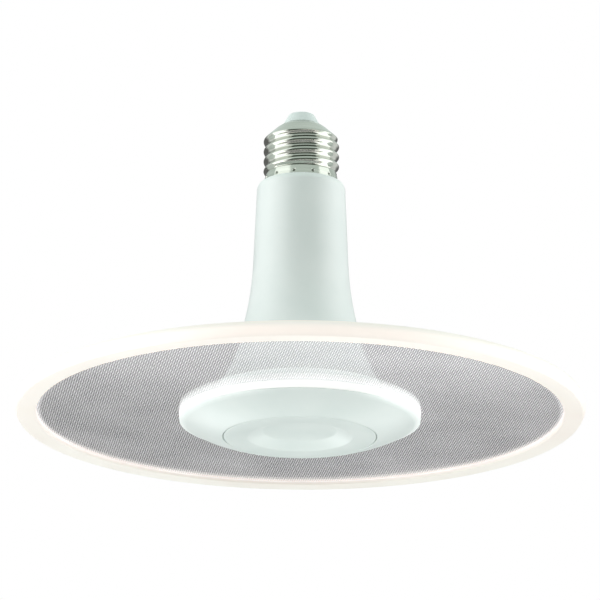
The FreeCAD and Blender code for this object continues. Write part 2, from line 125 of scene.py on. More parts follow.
# Neck
flange_edge = 0.0013
flange_fillet = 0.0005
flange_rise = 0.0019
flange_flat = 0.0025
neck_wall = 0.0018
neck_top_radius = 0.0153
neck_low_radius = 0.0164
shoulder_width = 0.0021
shoulder_height = 0.0026
shoulder_steps = 12
flare_height = 0.0505
flare_pull_down = 0.0240
flare_pull_in = 0.0125
spigot_radius = 0.0116
spigot_wall = 0.0015
spigot_fillet = 0.0003
spigot_root = 0.0020
hub_bore = 0.0364
bore_wall = 0.0020

# Screw cap
thread_depth = 0.0010
thread_pitch = 0.003629
thread_turns = 3.60
thread_run_out = 0.12
thread_crest_lead = 0.00295
skirt_height = 0.00325
skirt_flare = 0.00045
skirt_waist = 0.00035
waist_height = 0.3 * thread_pitch
thread_low = shoulder_z + skirt_height
thread_high = thread_low + thread_turns * thread_pitch
shell_sheet = 0.00035
stake_count = 12
stake_phase = radians(18.6)
stake_height = 0.00115
stake_depth = 0.00060
stake_spread = 0.00042
cone_high_radius = 0.0085
cone_height = 0.00375
cone_fillet = 0.0012
cone_foot = 0.0003
cone_foot_fillet = 0.0004
mouth_radius = 0.0060
mouth_fillet = 0.0001
cone_high = thread_high + cone_height
nub_base_radius = 0.00645
nub_top_radius = 0.0043
nub_fillet = 0.0009
nub_disc = 0.0012
contact_flat_radius = 0.0026
contact_fillet = 0.0003
pin_radius = 0.0012

# Dots of the light guide
dot_pitch = 0.0011
dot_radius = 0.00033
dot_height = 0.00006
dot_sink = 0.00004
dot_sides = 6
dot_lattice_turn = radians(-38.0)
dot_margin = 0.0001

# Zones of the glow and of painted light and shade, each from none to full: places along an axis, or
# distances from the lamp's axis
guide_hub_painted_light_zone = (hub_radius + 0.0008, hub_radius)
guide_rim_painted_light_zone = (ring_inner - 0.0018, ring_inner)
guide_front_painted_light_zone = (0.005, -0.080)
guide_side_painted_light_zone = (-0.080, 0.090)
dot_hub_zone = (hub_radius + 0.010, hub_radius)
dot_front_painted_light_zone = (0.0, -0.070)
dot_below_zone = (guide_low + dot_sink, guide_low + 0.8 * dot_sink)
cover_left_painted_light_zone = (-0.004, -0.024)
cover_right_painted_light_zone = (0.016, 0.034)
cover_rim_zone = (hub_radius - 0.0024, hub_radius - 0.0006)
cover_broad_zone = (hub_radius - 0.0150, hub_radius)
ring_back_painted_shade_zone = (-0.095, 0.095)
ring_low_zone = (ring_low - 0.0018, ring_low + 0.0012)
ring_top_painted_shade_zone = (ring_low + 0.0022, ring_high - 0.0002)
ring_lip_painted_light_zone = (ring_inner + 0.0004, ring_inner)
clamp_glow = 0.42

# Camera and studio
camera_distance = 1.80
camera_drop = radians(17.15)
camera_centre_z = 0.0524
camera_roll = radians(0.30)
aim_x = -0.0002
aim_z = 0.04905
focal_length = 313.9
lamp_aim_z = 0.05
floor_z = -0.80
floor_half_width = 3.5
floor_front = -0.30
floor_back = 1.4
floor_camera_lift = 0.35
front_turn = radians(10)
back_wall = (0.10, 0.10, 0.10)
side_walls = (0.99, 1.01, 1.01)
front_wall = (0.05, 0.08, 0.055)
ceiling_colour = (0.76, 0.87, 0.82)
ceiling_start = 0.30
ceiling_full = 0.50
glossy_white = 0.10
transmission_white = 0.10

# Area lamps: name, place, size, power
LAMPS = [
    ("left_softbox", (-1.42, -0.66, 0.50), 2.0, 11.4),
    ("right_softbox", (1.50, -0.25, 0.45), 1.7, 9.4),
    ("low_left_fill", (-1.10, -0.30, -0.60), 0.9, 4.5),
    ("low_right_fill", (1.1, -0.20, -0.60), 1.0, 4.9),
    ("back_left_fill", (-0.36, 0.98, -0.66), 0.5, 1.4),
    ("back_right_fill", (0.36, 0.98, -0.66), 0.5, 0.8),
]


# Shapes

arc_step = radians(15)


def rounded(corners, closed=True):
    """Points of an outline whose corners are (radius, height) or (radius, height, fillet)."""
    points = []
    count = len(corners)
    for index, corner in enumerate(corners):
        fillet = corner[2] if len(corner) > 2 else 0.0
        end = not closed and index in (0, count - 1)
        if fillet == 0.0 or end:
            points.append((corner[0], corner[1]))
            continue
        before = corners[index - 1]
        after = corners[(index + 1) % count]
        back = Vector((before[0] - corner[0], before[1] - corner[1]))
        ahead = Vector((after[0] - corner[0], after[1] - corner[1]))
        turn = back.angle(ahead)
        reach = fillet / tan(turn / 2)
        start = Vector(corner[:2]) + back.normalized() * reach
        stop = Vector(corner[:2]) + ahead.normalized() * reach
        inward = (back.normalized() + ahead.normalized()).normalized()
        centre = Vector(corner[:2]) + inward * (fillet / sin(turn / 2))
        first = atan2(start.y - centre.y, start.x - centre.x)
        last = atan2(stop.y - centre.y, stop.x - centre.x)
        sweep = (last - first + pi) % (2 * pi) - pi
        steps = max(2, ceil(abs(sweep) / arc_step))
        for step in range(steps + 1):
            angle = first + sweep * step / steps
            points.append((centre.x + fillet * cos(angle), centre.y + fillet * sin(angle)))
    return points


def bezier(poles, steps):
    """Points of a cubic curve, both ends included."""
    points = []
    for step in range(steps + 1):
        t = step / steps
        weights = ((1 - t) ** 3, 3 * t * (1 - t) ** 2, 3 * t * t * (1 - t), t**3)
        points.append(
            tuple(sum(weight * pole[axis] for weight, pole in zip(weights, poles)) for axis in (0, 1))
        )
    return points


def bulged(start, end, sag, steps):
    """Points of a shallow arc from start to end that bulges to the right of its way, ends left out."""
    run = end[0] - start[0]
    rise = end[1] - start[1]
    chord = hypot(run, rise)
    points = []
    for step in range(1, steps):
        t = step / steps
        lift = 4 * sag * t * (1 - t)
        points.append((
            start[0] + run * t + lift * rise / chord,
            start[1] + rise * t - lift * run / chord,
        ))
    return points


def finish_mesh(name, vertices, faces, material, sharp=radians(35)):
    """A smooth-shaded piece that rides on the lamp's one body."""
    mesh = bpy.data.meshes.new(name)
    mesh.from_pydata(vertices, [], faces)
    mesh.validate()
    mesh.shade_smooth()
    mesh.set_sharp_from_angle(angle=sharp)
    mesh.materials.append(material)
    piece = bpy.data.objects.new(name, mesh)
    bpy.context.scene.collection.objects.link(piece)
    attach(piece, "root")
    return piece


def lathe(name, outline, material, segments=240):
    """A closed solid turned about the axis. The outline goes round anticlockwise, radius to the right."""
    vertices = []
    rings = []
    for r, z in outline:
        if r < 1e-7:
            rings.append([len(vertices)] * segments)
            vertices.append((0.0, 0.0, z))
            continue
        rings.append(list(range(len(vertices), len(vertices) + segments)))
        for index in range(segments):
            angle = 2 * pi * index / segments
            vertices.append((r * cos(angle), r * sin(angle), z))
    faces = []
    for here, there in zip(rings, rings[1:] + rings[:1]):
        for index in range(segments):
            after = (index + 1) % segments
            face = [here[index], here[after], there[after], there[index]]
            corners = list(dict.fromkeys(face))
            if len(corners) > 2:
                faces.append(corners)
    return finish_mesh(name, vertices, faces, material)


# Shader nodes

# Noise stays between these, most of the time
noise_low = 0.3
noise_high = 0.7


def new_material(name):
    """A material with its node tree and its main shader."""
    material = bpy.data.materials.new(name)
    material.use_nodes = True
    return material, material.node_tree, material.node_tree.nodes["Principled BSDF"]


def add(tree, kind, values=None, **settings):
    """A node with its settings, and the values of its inputs by name or number."""
    made = tree.nodes.new(kind)
    for key, value in settings.items():
        setattr(made, key, value)
    for key, value in (values or {}).items():
        made.inputs[key].default_value = value
    return made


def object_noise(tree, scale, detail=3.0, stretch=None):
    """Noise in the object's own space, stretched along its axes where asked."""
    coordinates = add(tree, "ShaderNodeTexCoord")
    noise = add(tree, "ShaderNodeTexNoise", {"Scale": scale, "Detail": detail})
    if stretch is None:
        tree.links.new(coordinates.outputs["Object"], noise.inputs["Vector"])
        return noise.outputs["Fac"]
    mapping = add(tree, "ShaderNodeMapping", {"Scale": stretch})
    tree.links.new(coordinates.outputs["Object"], mapping.inputs["Vector"])
    tree.links.new(mapping.outputs["Vector"], noise.inputs["Vector"])
    return noise.outputs["Fac"]


def ramp(tree, factor, stops):
    """A colour ramp from (place, colour) stops."""
    node = add(tree, "ShaderNodeValToRGB")
    elements = node.color_ramp.elements
    while len(elements) < len(stops):
        elements.new(0.5)
    for element, (place, colour) in zip(elements, stops):
        element.position = place
        element.color = (*colour, 1.0)
    tree.links.new(factor, node.inputs["Fac"])
    return node.outputs["Color"]


def tinted(tree, noise, dark, light, first=0.35, last=0.65):
    """Goes from a dark to a light colour with the noise."""
    return ramp(tree, noise, [(first, dark), (last, light)])


def spread(tree, noise, lowest, highest):
    """Maps noise, which stays near its middle, to a range of values."""
    limits = {"From Min": noise_low, "From Max": noise_high, "To Min": lowest, "To Max": highest}
    node = add(tree, "ShaderNodeMapRange", limits)
    tree.links.new(noise, node.inputs["Value"])
    return node.outputs["Result"]


def bump(tree, height, depth, normal=None):
    """A relief of some depth, on top of another one where given."""
    node = add(tree, "ShaderNodeBump", {"Strength": 1.0, "Distance": depth})
    tree.links.new(height, node.inputs["Height"])
    if normal is not None:
        tree.links.new(normal, node.inputs["Normal"])
    return node.outputs["Normal"]


def surface(name, dark, light, patch, grain, depth, rough, metallic=0.0, specular=0.5):
    """Colour patches, a fine grain in the relief, and a roughness that varies with them."""
    material, tree, shader = new_material(name)
    patches = object_noise(tree, patch, 4.0)
    grains = object_noise(tree, grain, 2.0)
    tree.links.new(tinted(tree, patches, dark, light), shader.inputs["Base Color"])
    tree.links.new(spread(tree, patches, *rough), shader.inputs["Roughness"])
    tree.links.new(bump(tree, grains, depth), shader.inputs["Normal"])
    shader.inputs["Metallic"].default_value = metallic
    shader.inputs["Specular IOR Level"].default_value = specular
    return material


def along_axis(tree, axis, start, end):
    """Nought at one place along the object's X, Y or Z and one at another."""
    coordinates = add(tree, "ShaderNodeTexCoord")
    parts = add(tree, "ShaderNodeSeparateXYZ")
    limits = {"From Min": start, "From Max": end}
    share = add(tree, "ShaderNodeMapRange", limits, interpolation_type="SMOOTHSTEP")
    tree.links.new(coordinates.outputs["Object"], parts.inputs["Vector"])
    tree.links.new(parts.outputs[axis], share.inputs["Value"])
    return share.outputs["Result"]


def total(tree, shares):
    """The sum of some shares, each times its weight."""
    result = None
    for share, weight in shares:
        part = add(tree, "ShaderNodeMath", {1: weight}, operation="MULTIPLY")
        tree.links.new(share, part.inputs[0])
        if result is None:
            result = part.outputs["Value"]
            continue
        both = add(tree, "ShaderNodeMath", operation="ADD")
        tree.links.new(result, both.inputs[0])
        tree.links.new(part.outputs["Value"], both.inputs[1])
        result = both.outputs["Value"]
    return result


def axis_distance(tree, start, end):
    """Nought at one distance from the lamp's axis and one at another."""
    coordinates = add(tree, "ShaderNodeTexCoord")
    flat = add(tree, "ShaderNodeVectorMath", {1: (1.0, 1.0, 0.0)}, operation="MULTIPLY")
    length = add(tree, "ShaderNodeVectorMath", operation="LENGTH")
    share = add(tree, "ShaderNodeMapRange", {"From Min": start, "From Max": end})
    tree.links.new(coordinates.outputs["Object"], flat.inputs[0])
    tree.links.new(flat.outputs["Vector"], length.inputs[0])
    tree.links.new(length.outputs["Value"], share.inputs["Value"])
    return share.outputs["Result"]


# Materials of the outside

def moulded_plastic(name, dark, light, patch, rough=(0.30, 0.38), specular=0.8):
    """Satin moulded plastic with a cool tint and a very fine spark-eroded texture."""
    return surface(
        name, dark, light, patch, grain=2600.0, depth=0.00002, rough=rough, specular=specular
    )


def housing_plastic(name="housing_plastic"):
    return moulded_plastic(name, (0.785, 0.832, 0.820), (0.825, 0.862, 0.850), 60.0)


def plug_plastic():
    return moulded_plastic("plug_plastic", (0.805, 0.855, 0.842), (0.845, 0.885, 0.872), 70.0)


def nub_plastic():
    """A slightly duller plastic than the housing's."""
    return moulded_plastic(
        "nub_plastic", (0.715, 0.775, 0.765), (0.755, 0.805, 0.795), 90.0,
        rough=(0.34, 0.44), specular=0.7,
    )


def cover_plastic():
    """The housing's plastic, with a glow in its thin rim for the light from behind. Painted light shapes
    that glow: only at the left and right, stronger on the right, none in the front middle.
    """
    material = housing_plastic("cover_plastic")
    tree = material.node_tree
    shader = tree.nodes["Principled BSDF"]
    shader.inputs["Emission Color"].default_value = (1.0, 1.0, 0.99, 1.0)
    # Painted light: the rim's glow only at the sides, more on the right
    painted_side_light_share = total(tree, [
        (along_axis(tree, "X", *cover_left_painted_light_zone), 0.17),
        (along_axis(tree, "X", *cover_right_painted_light_zone), 0.28),
    ])
    rim = total(tree, [
        (axis_distance(tree, *cover_rim_zone), 0.85),
        (axis_distance(tree, *cover_broad_zone), 0.15),
    ])
    glow_and_painted_light = add(tree, "ShaderNodeMath", operation="MULTIPLY")
    tree.links.new(rim, glow_and_painted_light.inputs[0])
    tree.links.new(painted_side_light_share, glow_and_painted_light.inputs[1])
    tree.links.new(glow_and_painted_light.outputs["Value"], shader.inputs["Emission Strength"])
    return material


def guide_acrylic():
    """Clear acrylic, faintly hazy.

    It glows faintly in random patches with the lit guide's own light. On top of that, painted light
    brightens it near the clamp and near the opal rim, where it hides shade lines, towards the front, and a
    little towards +X.
    """
    material, tree, shader = new_material("guide_acrylic")
    shader.inputs["Transmission Weight"].default_value = 1.0
    shader.inputs["IOR"].default_value = 1.49
    patches = object_noise(tree, 40.0)
    tint = tinted(tree, patches, (0.52, 0.51, 0.52), (0.56, 0.55, 0.56), noise_low, noise_high)
    tree.links.new(tint, shader.inputs["Base Color"])
    tree.links.new(spread(tree, patches, 0.03, 0.06), shader.inputs["Roughness"])
    # The guide's own glow in patches, plus painted light near the clamp, the rim, the front and the +X
    # side
    glow_and_painted_light = total(tree, [
        (patches, 0.098),
        (axis_distance(tree, *guide_hub_painted_light_zone), 0.30),
        (axis_distance(tree, *guide_rim_painted_light_zone), 0.30),
        (along_axis(tree, "Y", *guide_front_painted_light_zone), 0.085),
        (along_axis(tree, "X", *guide_side_painted_light_zone), 0.02),
    ])
    shader.inputs["Emission Color"].default_value = (1.0, 0.99, 1.0, 1.0)
    tree.links.new(glow_and_painted_light, shader.inputs["Emission Strength"])
    return material


def dot_white():
    """White print whose glow is brighter near the light sources, and brighter towards the front by painted
    light. Its glow leaves downwards only.
    """
    material, tree, shader = new_material("dot_white")
    # Glow share: brighter near the hub, plus painted light towards the front
    glow_share_and_painted_front_light = total(tree, [
        (axis_distance(tree, *dot_hub_zone), 0.25),
        (along_axis(tree, "Y", *dot_front_painted_light_zone), 0.75),
    ])
    tint = tinted(tree, object_noise(tree, 900.0), (0.80, 0.79, 0.80), (0.88, 0.87, 0.88))
    glow_with_painted_shading = ramp(tree, glow_share_and_painted_front_light, [(0.0, (0.40, 0.39, 0.40)), (1.0, (0.89, 0.88, 0.89))])
    below = along_axis(tree, "Z", *dot_below_zone)
    tree.links.new(tint, shader.inputs["Base Color"])
    tree.links.new(glow_with_painted_shading, shader.inputs["Emission Color"])
    tree.links.new(below, shader.inputs["Emission Strength"])
    shader.inputs["Roughness"].default_value = 0.6
    return material


def opal_edge():
    """Opal plastic with the guide's light in it: warm white. Painted shade makes its glow weaker at the
    back and at both faces, and painted light lifts the lip's inner wall.
    """
    material, tree, shader = new_material("opal_edge")
    clouds = object_noise(tree, 25.0, 3.0)
    tint = tinted(tree, clouds, (0.90, 0.86, 0.82), (0.94, 0.91, 0.87))
    # Glow colour, dimmed towards the back by painted shade
    light = ramp(tree, along_axis(tree, "Y", *ring_back_painted_shade_zone), [
        (0.0, (0.42, 0.335, 0.31)),
        (0.25, (0.29, 0.21, 0.185)),
        (0.5, (0.24, 0.145, 0.13)),
        (1.0, (0.165, 0.12, 0.10)),
    ])
    # Glow strength: full near the bottom, dimmed towards the top by painted shade, lifted on the lip's
    # inner wall by painted light
    glow_with_painted_shading = total(tree, [
        (along_axis(tree, "Z", *ring_low_zone), 1.0),
        (along_axis(tree, "Z", *ring_top_painted_shade_zone), -0.68),
        (axis_distance(tree, *ring_lip_painted_light_zone), 0.3),
    ])
    tree.links.new(tint, shader.inputs["Base Color"])
    tree.links.new(light, shader.inputs["Emission Color"])
    tree.links.new(glow_with_painted_shading, shader.inputs["Emission Strength"])
    tree.links.new(spread(tree, clouds, 0.32, 0.42), shader.inputs["Roughness"])
    tree.links.new(bump(tree, object_noise(tree, 1800.0), 0.00002), shader.inputs["Normal"])
    return material


def opal_clamp():
    """Opal plastic right in front of the light sources, so it is the brightest piece."""
    material, tree, shader = new_material("opal_clamp")
    clouds = object_noise(tree, 90.0, 3.0)
    tint = tinted(tree, clouds, (0.92, 0.92, 0.91), (0.96, 0.96, 0.95))
    light = tinted(tree, clouds, (0.92, 0.92, 0.90), (1.0, 1.0, 0.99), noise_low, noise_high)
    tree.links.new(tint, shader.inputs["Base Color"])
    tree.links.new(light, shader.inputs["Emission Color"])
    shader.inputs["Emission Strength"].default_value = clamp_glow
    shader.inputs["Roughness"].default_value = 0.35
    return material


def nickel():
    """Rolled nickel: drawn along the turn, with a roughness that varies in small spots."""
    material, tree, shader = new_material("nickel")
    streaks = object_noise(tree, 60.0, 4.0, (1.0, 1.0, 14.0))
    spots = object_noise(tree, 500.0, 3.0)
    tint = tinted(tree, streaks, (0.475, 0.49, 0.445), (0.55, 0.565, 0.515))
    tree.links.new(tint, shader.inputs["Base Color"])
    tree.links.new(spread(tree, spots, 0.07, 0.13), shader.inputs["Roughness"])
    first = bump(tree, streaks, 0.00001)
    tree.links.new(bump(tree, spots, 0.000006, first), shader.inputs["Normal"])
    shader.inputs["Metallic"].default_value = 1.0
    return material


# Materials of the inside: dark and light colour, patch and grain scale, relief, roughness, metallic
INSIDE = {
    "aluminium": ((0.50, 0.51, 0.52), (0.62, 0.63, 0.64), 180.0, 1500.0, 0.00003, (0.38, 0.52), 1.0),
    "screw_steel": ((0.52, 0.52, 0.51), (0.64, 0.64, 0.62), 300.0, 1800.0, 0.00001, (0.26, 0.36), 1.0),
    "board_white": ((0.82, 0.82, 0.80), (0.88, 0.88, 0.87), 250.0, 2000.0, 0.00001, (0.30, 0.40), 0.0),
    "led_phosphor": ((0.90, 0.72, 0.18), (0.96, 0.82, 0.30), 900.0, 2500.0, 0.00002, (0.35, 0.50), 0.0),
    "board_green": ((0.03, 0.16, 0.07), (0.06, 0.24, 0.11), 220.0, 1800.0, 0.00001, (0.28, 0.40), 0.0),
    "ferrite": ((0.04, 0.04, 0.045), (0.08, 0.08, 0.085), 400.0, 2400.0, 0.00003, (0.50, 0.66), 0.0),
    "black_plastic": ((0.02, 0.02, 0.022), (0.04, 0.04, 0.042), 500.0, 2600.0, 0.00002, (0.42, 0.56), 0.0),
    "yellow_tape": ((0.72, 0.50, 0.06), (0.82, 0.60, 0.10), 300.0, 1500.0, 0.00001, (0.20, 0.30), 0.0),
    "can_sleeve": ((0.02, 0.02, 0.04), (0.05, 0.05, 0.09), 200.0, 1600.0, 0.00001, (0.22, 0.34), 0.0),
    "film_yellow": ((0.70, 0.46, 0.05), (0.80, 0.56, 0.09), 250.0, 1500.0, 0.00001, (0.25, 0.36), 0.0),
    "resistor_body": ((0.20, 0.33, 0.24), (0.28, 0.42, 0.31), 350.0, 1800.0, 0.00002, (0.40, 0.55), 0.0),
    "lead_red": ((0.50, 0.03, 0.02), (0.62, 0.06, 0.04), 300.0, 1500.0, 0.00001, (0.30, 0.42), 0.0),
    "lead_black": ((0.02, 0.02, 0.02), (0.04, 0.04, 0.04), 300.0, 1500.0, 0.00001, (0.30, 0.42), 0.0),
}


def dress_nodes(finishes):
    """Gives every CAD node the material of its slot in the record."""
    slots = {part["node"]: part["material_slot"] for part in frame["record"]["subparts"]}
    for name, node in frame["nodes"].items():
        for slot in node.material_slots:
            slot.material = finishes[slots[name]]


# Pieces

def flare_poles():
    """The trumpet's control points, from the neck down to the flange."""
    start_z = shoulder_z - shoulder_height
    top_z = guide_high + flare_height
    taper = (neck_low_radius - neck_top_radius) / (start_z - top_z)
    end = (flange_radius - flange_flat, guide_high + flange_rise)
    return [
        (neck_low_radius, top_z),
        (neck_low_radius + taper * flare_pull_down, top_z - flare_pull_down),
        (end[0] - flare_pull_in, end[1] + flange_edge / 2),
        end,
    ]


def neck(material):
    """The trumpet-shaped housing with its flange, and the spigot that carries the screw cap."""
    rim_radius = neck_top_radius - shoulder_width
    start_z = shoulder_z - shoulder_height
    shoulder = [
        (rim_radius + shoulder_width * cos(angle), start_z + shoulder_height * sin(angle))
        for angle in (radians(90 * step / shoulder_steps) for step in range(shoulder_steps + 1))
    ]
    trumpet = list(reversed(bezier(flare_poles(), steps=56)))
    inner = [(r - neck_wall, z) for r, z in trumpet if r - neck_wall < hub_bore - bore_wall]
    outline = rounded([
        (hub_bore, guide_high),
        (flange_radius, guide_high),
        (flange_radius, guide_high + flange_edge, flange_fillet),
        trumpet[0],
    ])
    outline += trumpet[1:] + shoulder
    outline += rounded([
        (spigot_radius, shoulder_z),
        (spigot_radius, spigot_top, spigot_fillet),
        (spigot_radius - spigot_wall, spigot_top, spigot_fillet),
        (spigot_radius - spigot_wall, shoulder_z - spigot_root),
        (neck_top_radius - neck_wall, shoulder_z - spigot_root),
    ], closed=False)
    outline += list(reversed(inner)) + [(hub_bore, guide_high + flange_edge / 3)]
    piece = lathe("neck_trumpet", outline, material)
    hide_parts("neck_housing")


def edge(material):
    """The opal ring that grips the guide's rim in a groove."""
    side = ring_radius - ring_bulge
    outer = bulged((side, ring_low), (side, ring_high), ring_bulge, steps=14)
    outline = rounded([
        (ring_inner, ring_low, ring_fillet),
        (side, ring_low),
        *outer,
        (side, ring_high),
        (ring_inner, ring_high, ring_fillet),
        (ring_inner, guide_high),
        (ring_inner + groove_depth, guide_high),
        (ring_inner + groove_depth, guide_low),
        (ring_inner, guide_low),
    ])
    piece = lathe("opal_edge_ring", outline, material, segments=360)
    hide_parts("edge_ring")


def clamp(material):
    """The opal ring under the guide, in front of the light sources."""
    outline = rounded([
        (clamp_inner, clamp_low, clamp_fillet),
        (hub_radius, clamp_low, clamp_fillet),
        (hub_radius, guide_low),
        (clamp_inner, guide_low),
    ])
    piece = lathe("glowing_clamp_ring", outline, material)
    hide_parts("clamp_ring")


def cover(material):
    """The shallow dome with the recess of the plug and the lip that centres it in the clamp."""
    recess = plug_radius + panel_gap
    pocket = recess + cover_wall
    floor_high = recess_depth + cover_floor
    lip = clamp_inner - fit_gap
    rim = (hub_radius, clamp_low)
    start = (recess + recess_edge, plug_low)
    outline = rounded([
        (0.0, recess_depth),
        (recess, recess_depth),
        (recess, plug_low, recess_fillet),
        start,
    ], closed=False)
    outline += bulged(start, rim, cover_bulge, steps=24)
    outline += rounded([
        (hub_radius - 2 * cover_edge, clamp_low - 3 * cover_edge),
        (hub_radius, clamp_low - 2 * cover_edge, cover_edge_fillet),
        (hub_radius - cover_edge, clamp_low),
        (lip, clamp_low),
        (lip, clamp_low + lip_height, lip_fillet),
        (lip - lip_width, clamp_low + lip_height, lip_fillet),
        (lip - lip_width, clamp_low),
        (pocket, floor_high),
        (0.0, floor_high),
    ], closed=False)
    piece = lathe("domed_cover", outline, material)
    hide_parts("lower_cover")


def plug(material):
    """The plug with its dimple, and the skirt that snaps into the recess."""
    top = plug_low + dimple_depth + plug_wall
    skirt = plug_radius - plug_wall
    outline = rounded([
        (0.0, plug_low + dimple_depth),
        (dimple_floor_radius, plug_low + dimple_depth, dimple_floor_fillet),
        (dimple_radius, plug_low, dimple_fillet),
        (plug_radius, plug_low, plug_fillet),
        (plug_radius, plug_low + recess_depth),
        (skirt, plug_low + recess_depth),
        (skirt, plug_low + plug_wall),
        (dimple_radius + dimple_back, plug_low + plug_wall),
        (dimple_floor_radius + dimple_back, top),
        (0.0, top),
    ], closed=False)
    piece = lathe("dimpled_plug", outline, material)
    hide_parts("centre_plug")


def shell(material, around=360, rise=0.00022):
    """The rolled screw shell: a skirt with punched dents, the thread, a cone and the mouth."""
    mean = thread_radius_outer - thread_depth / 2
    run = thread_run_out * thread_pitch
    profile = []
    rows = ceil((thread_high - shoulder_z) / rise)
    for row in range(rows + 1):
        z = shoulder_z + (thread_high - shoulder_z) * row / rows
        down = (thread_low - z) / skirt_height
        if down > 0:
            profile.append((mean - skirt_waist + (skirt_waist + skirt_flare) * down, z))
        else:
            profile.append((mean - skirt_waist * max(0.0, 1 + down * skirt_height / waist_height), z))
    profile += rounded([
        (mean, thread_high),
        (mean - cone_foot, thread_high + cone_foot, cone_foot_fillet),
        (cone_high_radius, cone_high, cone_fillet),
        (mouth_radius, shell_top, mouth_fillet),
        (mouth_radius, shell_top - shell_sheet),
    ], closed=False)[1:]
    profile += [(cone_high_radius - shell_sheet, cone_high - shell_sheet)]
    bore = thread_radius_outer - thread_depth - shell_sheet
    profile += [(bore, thread_high), (bore, shoulder_z)]
    vertices = []
    step = 2 * pi / stake_count
    for row, (r, z) in enumerate(profile):
        sheet = row <= rows
        grip = min(1.0, max(0.0, min(z - thread_low, thread_high - z) / run)) if sheet else 0.0
        turn = 2 * pi * (z - thread_low - thread_crest_lead) / thread_pitch
        for index in range(around):
            angle = 2 * pi * index / around
            here = r + grip * thread_depth / 2 * cos(angle - turn)
            if sheet:
                off = ((angle + pi / 2 - stake_phase + step / 2) % step - step / 2) * mean
                away = hypot(off, z - shoulder_z - stake_height) / stake_spread
                here -= stake_depth * exp(-(away**4))
            vertices.append((here * cos(angle), here * sin(angle), z))
    faces = []
    count = len(profile)
    for row in range(count):
        here = row * around
        above = (row + 1) % count * around
        for index in range(around):
            after = (index + 1) % around
            faces.append((here + index, here + after, above + after, above + index))
    piece = finish_mesh("rolled_screw_shell", vertices, faces, material)
    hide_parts("screw_shell")


def insulator(material):
    """The nub in the shell's mouth, which carries on the cone, with its disc inside."""
    neck_radius = mouth_radius - shell_sheet
    disc_high = shell_top - shell_sheet
    slope = (shell_top - cone_high) / (cone_high_radius - mouth_radius)
    drop = slope * (nub_base_radius - mouth_radius)
    outline = rounded([
        (pin_radius, disc_low),
        (radius("cap_insulator"), disc_low),
        (radius("cap_insulator"), disc_high - nub_disc),
        (neck_radius, disc_high),
        (neck_radius, shell_top),
        (mouth_radius, shell_top),
        (nub_base_radius, shell_top - drop),
        (nub_top_radius, nub_top, nub_fillet),
        (pin_radius, nub_top),
    ])
    piece = lathe("insulator_nub", outline, material, segments=144)
    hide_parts("cap_insulator")


def contact(material):
    """The contact button with its pin."""
    outline = rounded([
        (0.0, contact_low),
        (pin_radius, contact_low),
        (pin_radius, nub_top),
        (contact_radius, nub_top),
        (contact_flat_radius, contact_top, contact_fillet),
        (0.0, contact_top),
    ], closed=False)
    piece = lathe("contact_button", outline, material, segments=96)
    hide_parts("centre_contact")


def dots(material):
    """Small printed lenses on the guide's lower face, in a square lattice."""
    inner = hub_radius + dot_margin + dot_radius
    outer = ring_inner - dot_margin - dot_radius
    along = Vector((cos(dot_lattice_turn), sin(dot_lattice_turn)))
    across = Vector((-along.y, along.x))
    angles = [2 * pi * k / dot_sides for k in range(dot_sides)]
    painted_side_light_share = [(cos(angle) * dot_radius, sin(angle) * dot_radius) for angle in angles]
    reach = ceil(outer / dot_pitch)
    vertices = []
    faces = []
    for row in range(-reach, reach + 1):
        for column in range(-reach, reach + 1):
            centre = (along * column + across * row) * dot_pitch
            if not inner < centre.length < outer:
                continue
            first = len(vertices)
            vertices.append((centre.x, centre.y, guide_low - dot_height))
            vertices += [(centre.x + x, centre.y + y, guide_low + dot_sink) for x, y in painted_side_light_share]
            rim = [first + 1 + k for k in range(dot_sides)]
            faces += [(first, rim[(k + 1) % dot_sides], rim[k]) for k in range(dot_sides)]
            faces.append(tuple(rim))
    piece = finish_mesh("dot_pattern", vertices, faces, material, sharp=radians(80))


# Studio

def floor():
    """A pale floor far below the hanging lamp, which ends under it. It keeps the lamp's shadow."""
    material, tree, shader = new_material("studio_floor")
    shader.inputs["Roughness"].default_value = 0.8
    noise = object_noise(tree, 3.0)
    tint = tinted(tree, noise, (0.88, 0.88, 0.88), (0.90, 0.90, 0.90), noise_low, noise_high)
    tree.links.new(tint, shader.inputs["Base Color"])
    rays = add(tree, "ShaderNodeLightPath")
    lift = add(tree, "ShaderNodeMath", {1: floor_camera_lift}, operation="MULTIPLY")
    tree.links.new(rays.outputs["Is Camera Ray"], lift.inputs[0])
    tree.links.new(lift.outputs["Value"], shader.inputs["Emission Strength"])
    shader.inputs["Emission Color"].default_value = (1.0, 1.0, 1.0, 1.0)
    mesh = bpy.data.meshes.new("studio_floor")
    corners = [
        (-floor_half_width, floor_front, 0),
        (floor_half_width, floor_front, 0),
        (floor_half_width, floor_back, 0),
        (-floor_half_width, floor_back, 0),
    ]
    mesh.from_pydata(corners, [], [(0, 1, 2, 3)])
    mesh.materials.append(material)
    plane = bpy.data.objects.new("studio_floor", mesh)
    plane.location.z = floor_z
    bpy.context.scene.collection.objects.link(plane)


